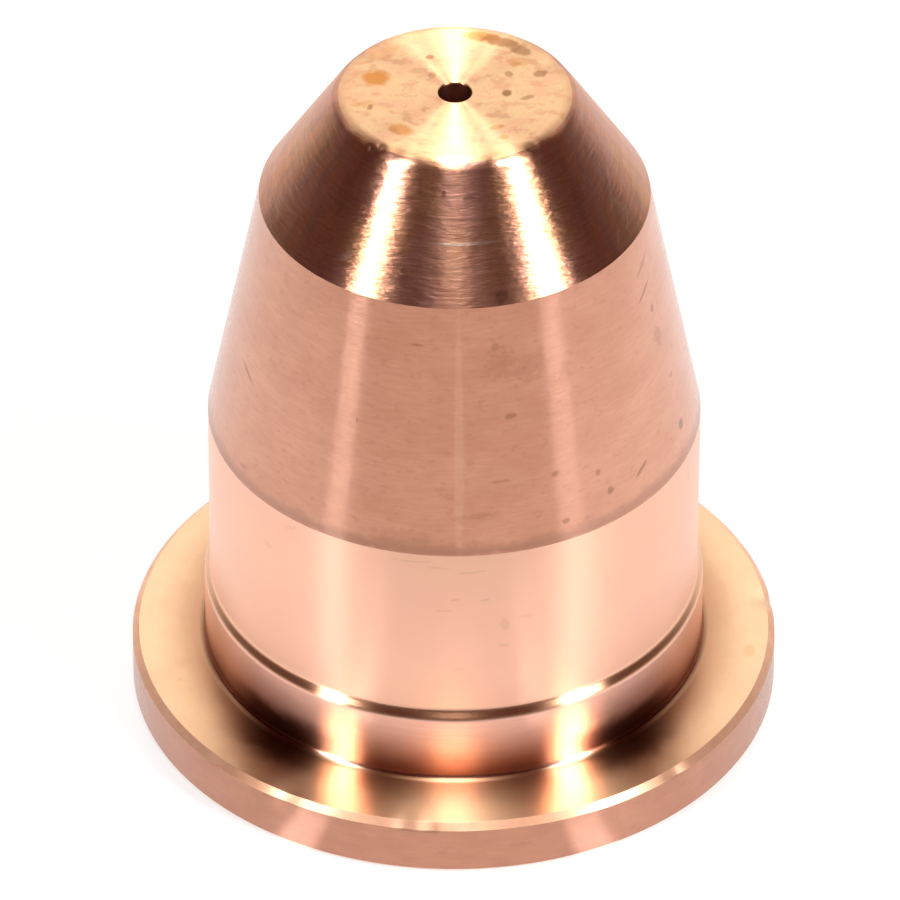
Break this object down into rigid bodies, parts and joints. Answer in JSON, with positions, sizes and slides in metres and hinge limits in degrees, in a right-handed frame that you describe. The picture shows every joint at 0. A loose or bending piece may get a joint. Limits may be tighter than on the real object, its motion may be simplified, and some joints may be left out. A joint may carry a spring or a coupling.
{
  "type": "plasma torch nozzle",
  "caption": "Turned copper nozzle for a plasma cutting torch: flanged foot, straight body, slow taper and steep nose with a small central orifice over a stepped chamber.",
  "frame": {"origin": "centre of the flange's underside", "axes": "+Z along the axis of the turned piece, from the flange to the tip; X and Y are free, because the piece is round"},
  "size_m": [0.022, 0.022, 0.0242],
  "materials": {
    "copper": "fine-turned bare copper, brighter on the straight body and the flange, matt on the taper"
  },
  "bodies": {
    "root": {"nozzle": "copper"}
  },
  "joints": []
}
